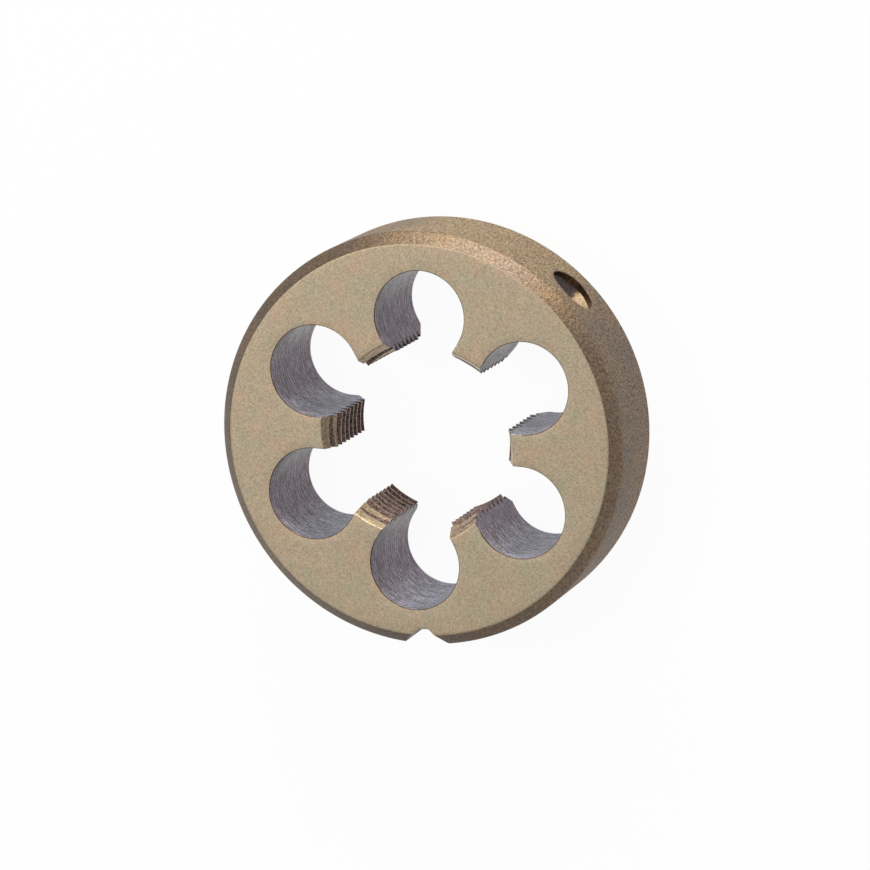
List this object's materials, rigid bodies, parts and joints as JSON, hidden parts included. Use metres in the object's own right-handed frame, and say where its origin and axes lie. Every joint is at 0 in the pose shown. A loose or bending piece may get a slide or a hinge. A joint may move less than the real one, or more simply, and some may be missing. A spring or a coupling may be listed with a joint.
{
  "type": "round threading die",
  "caption": "Round closed threading die: a bevelled steel disc whose threaded bore opens into a ring of chip holes, leaving toothed lands, with a rim notch and screw seats.",
  "frame": {"origin": "centre of the back face, on the die's axis", "axes": "+Z along the die's axis, from the back face to the lead face where the rod is started; +X through the middle of a land; the rim notch is near -Y"},
  "size_m": [0.065, 0.0649, 0.018],
  "materials": {
    "tool_steel": "hardened tool steel, tan from heat treatment: satin ground faces, grey-violet chip holes, browner blasted rim and dark threads"
  },
  "bodies": {
    "root": {"threading_die": "tool_steel"}
  },
  "joints": []
}
